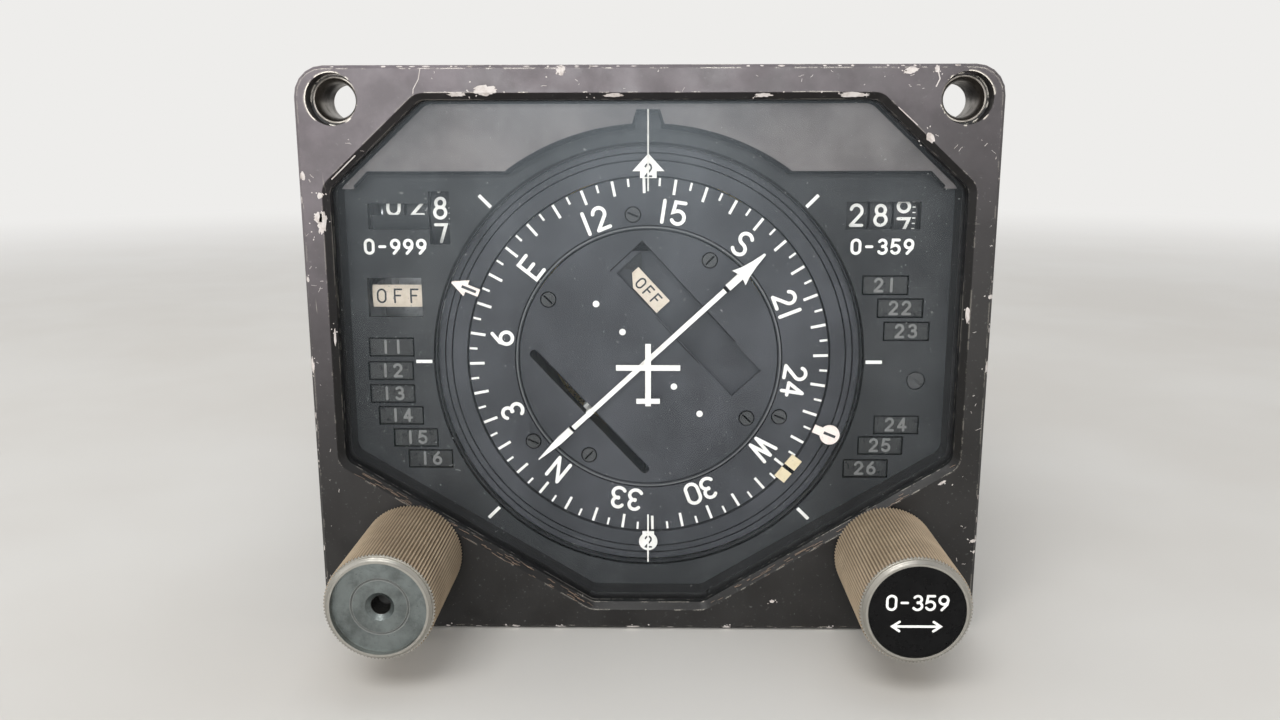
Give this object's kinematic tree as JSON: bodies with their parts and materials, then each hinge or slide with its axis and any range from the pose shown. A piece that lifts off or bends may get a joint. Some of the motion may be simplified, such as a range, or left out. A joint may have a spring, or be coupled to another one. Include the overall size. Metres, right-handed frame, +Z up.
{
  "type": "horizontal situation indicator",
  "caption": "Panel-mounted aircraft horizontal situation indicator: geared compass card, course disc, bearing pointers, counters and flags behind glass, with two setting knobs.",
  "frame": {"origin": "centre of the rectangle of four panel holes, on the rear face of the bezel", "axes": "+X right and +Z up as the pilot sees the dial, +Y into the panel along the case"},
  "size_m": [0.128, 0.2358, 0.1084],
  "materials": {
    "bezel_paint": "satin dark brown-grey paint worn to bare metal at the edges",
    "plated_steel": "dull plated",
    "rubber_seal": "matt",
    "window_glass": "clear, slightly tinted, with dust",
    "white_marking": "matt white print",
    "dial_black": "matt dark grey",
    "shroud_black": "matt dark grey",
    "lamp_glass": "clear",
    "lens_grey": "dark smoked",
    "frame_metal": "as cast and machined",
    "case_paint": "matt black",
    "screw_steel": "dull",
    "black_screw": "blackened",
    "connector_metal": "olive drab plating",
    "insert_rubber": "dull",
    "motor_can": "dull plated",
    "board_green": "lacquered",
    "gear_brass": "machined",
    "knob_paint": "khaki paint over machined aluminium",
    "cap_black": "satin with white engraving",
    "flag_cream": "matt cream",
    "bug_cream": "matt cream",
    "drum_black": "matt black with white figures"
  },
  "bodies": {
    "housing": {"bezel": "bezel_paint", "hole_bushings": "plated_steel", "window_gasket": "rubber_seal", "front_glass": "window_glass", "reference_marks": "white_marking", "glass_spacer": "shroud_black", "light_shroud": "shroud_black", "dial_lamps": "lamp_glass", "mask_plate": "dial_black", "mask_screws": "black_screw", "annunciator_lenses": "lens_grey", "annunciator_blocks": "dial_black", "annunciator_lamps": "lamp_glass", "front_frame": "frame_metal", "rear_frame": "frame_metal", "frame_posts": "frame_metal", "case_shell": "case_paint", "case_screws": "screw_steel", "rear_cover": "case_paint", "rear_connectors": "connector_metal", "connector_inserts": "insert_rubber", "servo_motors": "motor_can", "course_resolver": "motor_can", "circuit_boards": "board_green", "board_rods": "frame_metal", "shaft_brackets": "frame_metal", "knob_bushings": "gear_brass"},
    "compass_card": {"compass_card": "dial_black", "card_screws": "black_screw", "card_gear": "gear_brass"},
    "card_pinion": {"card_pinion": "gear_brass"},
    "heading_ring": {"heading_ring": "dial_black", "heading_bug": "bug_cream"},
    "heading_knob": {"heading_knob": "knob_paint", "heading_shaft": "screw_steel"},
    "heading_idler": {"heading_idler": "gear_brass"},
    "course_disc": {"course_disc": "dial_black", "course_pointer": "white_marking", "disc_screws": "black_screw", "course_gear": "gear_brass"},
    "course_knob": {"course_knob": "knob_paint", "course_knob_cap": "cap_black", "course_shaft": "screw_steel"},
    "course_idler": {"course_idler": "gear_brass"},
    "deviation_bar": {"deviation_bar": "white_marking"},
    "to_from_flag": {"to_from_flag": "dial_black"},
    "nav_flag": {"nav_flag": "flag_cream"},
    "off_flag": {"off_flag": "flag_cream"},
    "pointer_1": {"pointer_1_ring": "dial_black", "bearing_pointer_1": "white_marking"},
    "pointer_1_pinion": {"pointer_1_pinion": "gear_brass"},
    "pointer_2": {"pointer_2_ring": "dial_black", "bearing_pointer_2": "white_marking"},
    "pointer_2_pinion": {"pointer_2_pinion": "gear_brass"},
    "course_units": {"course_units_drum": "drum_black"},
    "course_tens": {"course_tens_drum": "drum_black"},
    "course_hundreds": {"course_hundreds_drum": "drum_black"},
    "miles_units": {"miles_units_drum": "drum_black"},
    "miles_tens": {"miles_tens_drum": "drum_black"},
    "miles_hundreds": {"miles_hundreds_drum": "drum_black"}
  },
  "joints": [
    {"name": "card_turn", "type": "hinge", "parent": "housing", "child": "compass_card", "pos_m": [0, 0.03, -0.002], "axis": [0, -1, 0], "continuous": true},
    {"name": "card_pinion_turn", "type": "hinge", "parent": "housing", "child": "card_pinion", "pos_m": [0.0501, 0.03, -0.002], "axis": [0, -1, 0], "continuous": true},
    {"name": "heading_ring_turn", "type": "hinge", "parent": "housing", "child": "heading_ring", "pos_m": [0, 0.03, -0.002], "axis": [0, -1, 0], "continuous": true},
    {"name": "heading_idler_turn", "type": "hinge", "parent": "housing", "child": "heading_idler", "pos_m": [-0.04077, 0.03, -0.02936], "axis": [0, -1, 0], "continuous": true},
    {"name": "heading_knob_turn", "type": "hinge", "parent": "housing", "child": "heading_knob", "pos_m": [-0.046, 0.03, -0.038], "axis": [0, -1, 0], "continuous": true},
    {"name": "course_disc_turn", "type": "hinge", "parent": "housing", "child": "course_disc", "pos_m": [0, 0.03, -0.002], "axis": [0, -1, 0], "continuous": true},
    {"name": "course_idler_turn", "type": "hinge", "parent": "housing", "child": "course_idler", "pos_m": [0.03715, 0.03, -0.02577], "axis": [0, -1, 0], "continuous": true},
    {"name": "course_knob_turn", "type": "hinge", "parent": "housing", "child": "course_knob", "pos_m": [0.046, 0.03, -0.038], "axis": [0, -1, 0], "continuous": true},
    {"name": "course_units_turn", "type": "hinge", "parent": "housing", "child": "course_units", "pos_m": [0.045, 0.008, 0.0267], "axis": [1, 0, 0], "continuous": true},
    {"name": "course_tens_turn", "type": "hinge", "parent": "housing", "child": "course_tens", "pos_m": [0.045, 0.008, 0.0267], "axis": [1, 0, 0], "continuous": true},
    {"name": "course_hundreds_turn", "type": "hinge", "parent": "housing", "child": "course_hundreds", "pos_m": [0.045, 0.008, 0.0267], "axis": [1, 0, 0], "continuous": true},
    {"name": "miles_units_turn", "type": "hinge", "parent": "housing", "child": "miles_units", "pos_m": [-0.045, 0.008, 0.0267], "axis": [1, 0, 0], "continuous": true},
    {"name": "miles_tens_turn", "type": "hinge", "parent": "housing", "child": "miles_tens", "pos_m": [-0.045, 0.008, 0.0267], "axis": [1, 0, 0], "continuous": true},
    {"name": "miles_hundreds_turn", "type": "hinge", "parent": "housing", "child": "miles_hundreds", "pos_m": [-0.045, 0.008, 0.0267], "axis": [1, 0, 0], "continuous": true},
    {"name": "pointer_1_turn", "type": "hinge", "parent": "housing", "child": "pointer_1", "pos_m": [0, 0.03, -0.002], "axis": [0, -1, 0], "continuous": true},
    {"name": "pointer_1_pinion_turn", "type": "hinge", "parent": "housing", "child": "pointer_1_pinion", "pos_m": [0.03948, 0.03, 0.02884], "axis": [0, -1, 0], "continuous": true},
    {"name": "pointer_2_turn", "type": "hinge", "parent": "housing", "child": "pointer_2", "pos_m": [0, 0.03, -0.002], "axis": [0, -1, 0], "continuous": true},
    {"name": "pointer_2_pinion_turn", "type": "hinge", "parent": "housing", "child": "pointer_2_pinion", "pos_m": [-0.03948, 0.03, 0.02884], "axis": [0, -1, 0], "continuous": true},
    {"name": "deviation_slide", "type": "slide", "parent": "course_disc", "child": "deviation_bar", "axis": [0.6794, 0, -0.7337], "range_m": [-0.0153, 0.0153], "stiffness_N_per_m": 20},
    {"name": "to_from_slide", "type": "slide", "parent": "course_disc", "child": "to_from_flag", "axis": [0.6794, 0, -0.7337], "range_m": [0, 0.004], "stiffness_N_per_m": 20},
    {"name": "nav_flag_slide", "type": "slide", "parent": "course_disc", "child": "nav_flag", "axis": [-0.7337, 0, -0.6794], "range_m": [0, 0.0042], "stiffness_N_per_m": 20},
    {"name": "off_flag_turn", "type": "hinge", "parent": "housing", "child": "off_flag", "pos_m": [-0.05, 0.0069, 0.0108], "axis": [1, 0, 0], "range_deg": [-55, 0], "stiffness_Nm_per_rad": 0.005}
  ],
  "couplings": [
    {"joint": "card_pinion_turn", "follows": "card_turn", "ratio": -9},
    {"joint": "heading_idler_turn", "follows": "heading_ring_turn", "ratio": -8.8},
    {"joint": "heading_knob_turn", "follows": "heading_ring_turn", "ratio": 8.8},
    {"joint": "course_idler_turn", "follows": "course_disc_turn", "ratio": -4.5},
    {"joint": "course_knob_turn", "follows": "course_disc_turn", "ratio": 5.1429},
    {"joint": "course_units_turn", "follows": "course_disc_turn", "ratio": -36},
    {"joint": "course_tens_turn", "follows": "course_disc_turn", "ratio": -3.6},
    {"joint": "course_hundreds_turn", "follows": "course_disc_turn", "ratio": -0.36},
    {"joint": "miles_tens_turn", "follows": "miles_units_turn", "ratio": 0.1},
    {"joint": "miles_hundreds_turn", "follows": "miles_units_turn", "ratio": 0.01},
    {"joint": "pointer_1_pinion_turn", "follows": "pointer_1_turn", "ratio": -9},
    {"joint": "pointer_2_pinion_turn", "follows": "pointer_2_turn", "ratio": -9}
  ]
}
